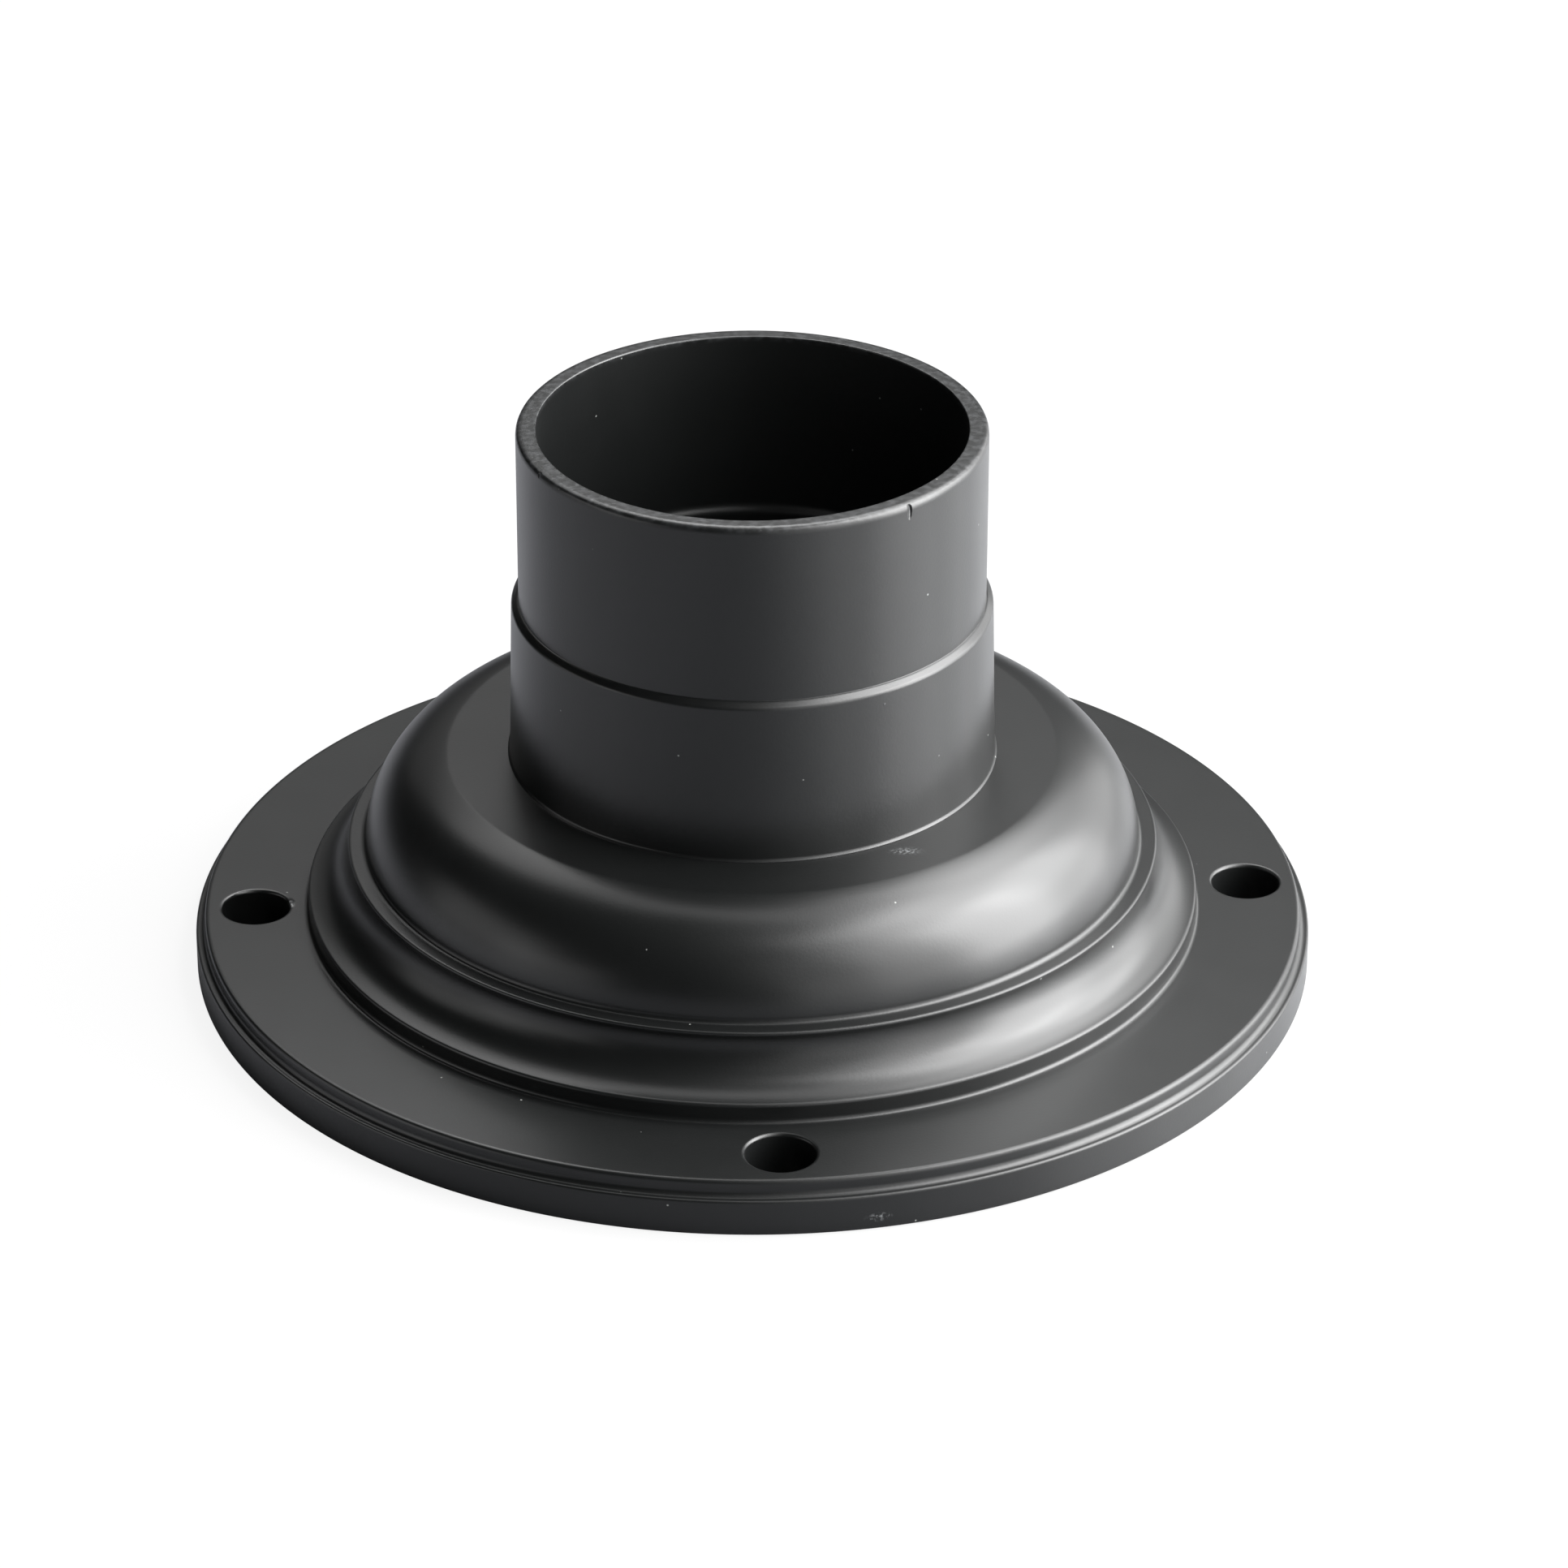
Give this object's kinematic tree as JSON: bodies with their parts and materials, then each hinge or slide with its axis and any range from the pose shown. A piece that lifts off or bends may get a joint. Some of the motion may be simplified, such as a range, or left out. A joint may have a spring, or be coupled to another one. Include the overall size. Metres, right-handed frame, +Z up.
{
  "type": "post lantern pier mount base",
  "caption": "Round cast pier mount base with an ogee dome, bolt-down flange and stepped fitter tube that carries a post-top lantern.",
  "frame": {"origin": "centre of the underside, on the plane where the flange stands on the pier", "axes": "+Z up along the tube's axis, +X and +Y through anchor holes, with the ground screw on the +X side"},
  "size_m": [0.1854, 0.1854, 0.095],
  "materials": {
    "coated_casting": "satin charcoal-black powder coat on cast aluminium",
    "zinc_steel": "bright zinc plate on steel",
    "seal_rubber": "matt black EPDM rubber",
    "gasket_foam": "closed-cell black foam rubber",
    "ground_green": "green dyed zinc plate on steel"
  },
  "bodies": {
    "root": {"base_casting": "coated_casting", "fitter_tube": "coated_casting", "tube_seal": "seal_rubber", "base_gasket": "gasket_foam", "ground_screw": "ground_green", "ground_cup_washer": "zinc_steel", "tube_screw_1": "zinc_steel", "tube_screw_2": "zinc_steel", "tube_screw_3": "zinc_steel", "tube_screw_4": "zinc_steel", "tube_lock_washer_1": "zinc_steel", "tube_lock_washer_2": "zinc_steel", "tube_lock_washer_3": "zinc_steel", "tube_lock_washer_4": "zinc_steel"}
  },
  "joints": []
}
